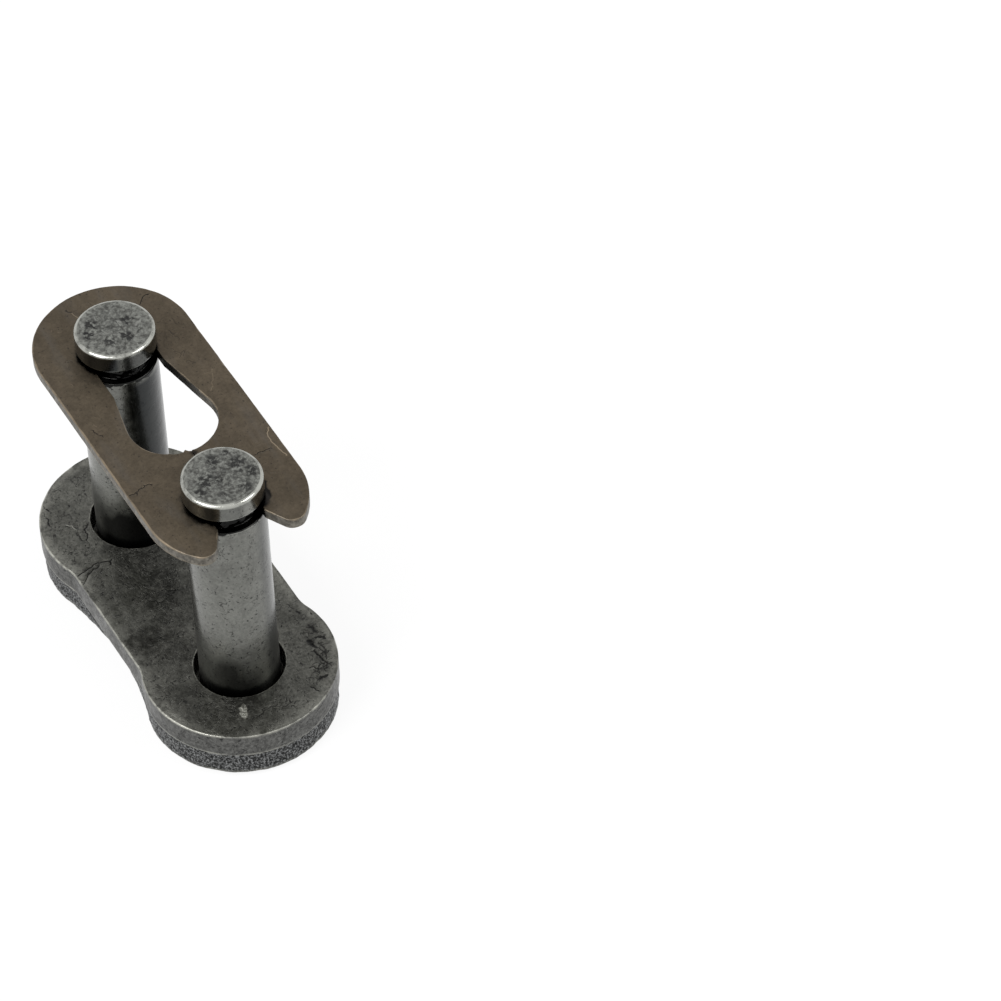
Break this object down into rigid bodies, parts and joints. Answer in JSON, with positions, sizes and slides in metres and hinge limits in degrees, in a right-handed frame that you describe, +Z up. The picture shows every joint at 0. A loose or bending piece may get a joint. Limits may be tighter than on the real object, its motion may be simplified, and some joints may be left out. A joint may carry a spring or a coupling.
{
  "type": "roller chain connecting link",
  "caption": "Roller chain connecting link: a pin plate with riveted pins, a loose slip plate, and a flat spring clip that snaps into the grooves of the pins.",
  "frame": {"origin": "midway between the pins, at the level of the riveted ends that the link stands on", "axes": "+X from the rear pin to the front pin, at the open end of the clip; +Z up along the pins, from the riveted ends to the free ends; +Y across the link"},
  "size_m": [0.0234, 0.0108, 0.0183],
  "materials": {
    "pin_plate_steel": "dark oiled steel, rough punched edge",
    "slip_plate_steel": "dark grey mottled steel, bright worn rim",
    "pin_steel": "satin ground steel with dark flecks",
    "clip_steel": "warm brown tempered spring steel, thin bright worn edges"
  },
  "bodies": {
    "base": {"pin_plate": "pin_plate_steel", "rear_pin": "pin_steel", "front_pin": "pin_steel"},
    "slip": {"slip_plate": "slip_plate_steel"},
    "clip": {"spring_clip": "clip_steel"}
  },
  "joints": [
    {"name": "slip_plate_slide", "type": "slide", "parent": "base", "child": "slip", "axis": [0, 0, 1], "range_m": [0, 0.0127]},
    {"name": "clip_slide", "type": "slide", "parent": "base", "child": "clip", "axis": [1, 0, 0], "range_m": [-0.00647, 0], "deforming": ["spring_clip"]}
  ]
}
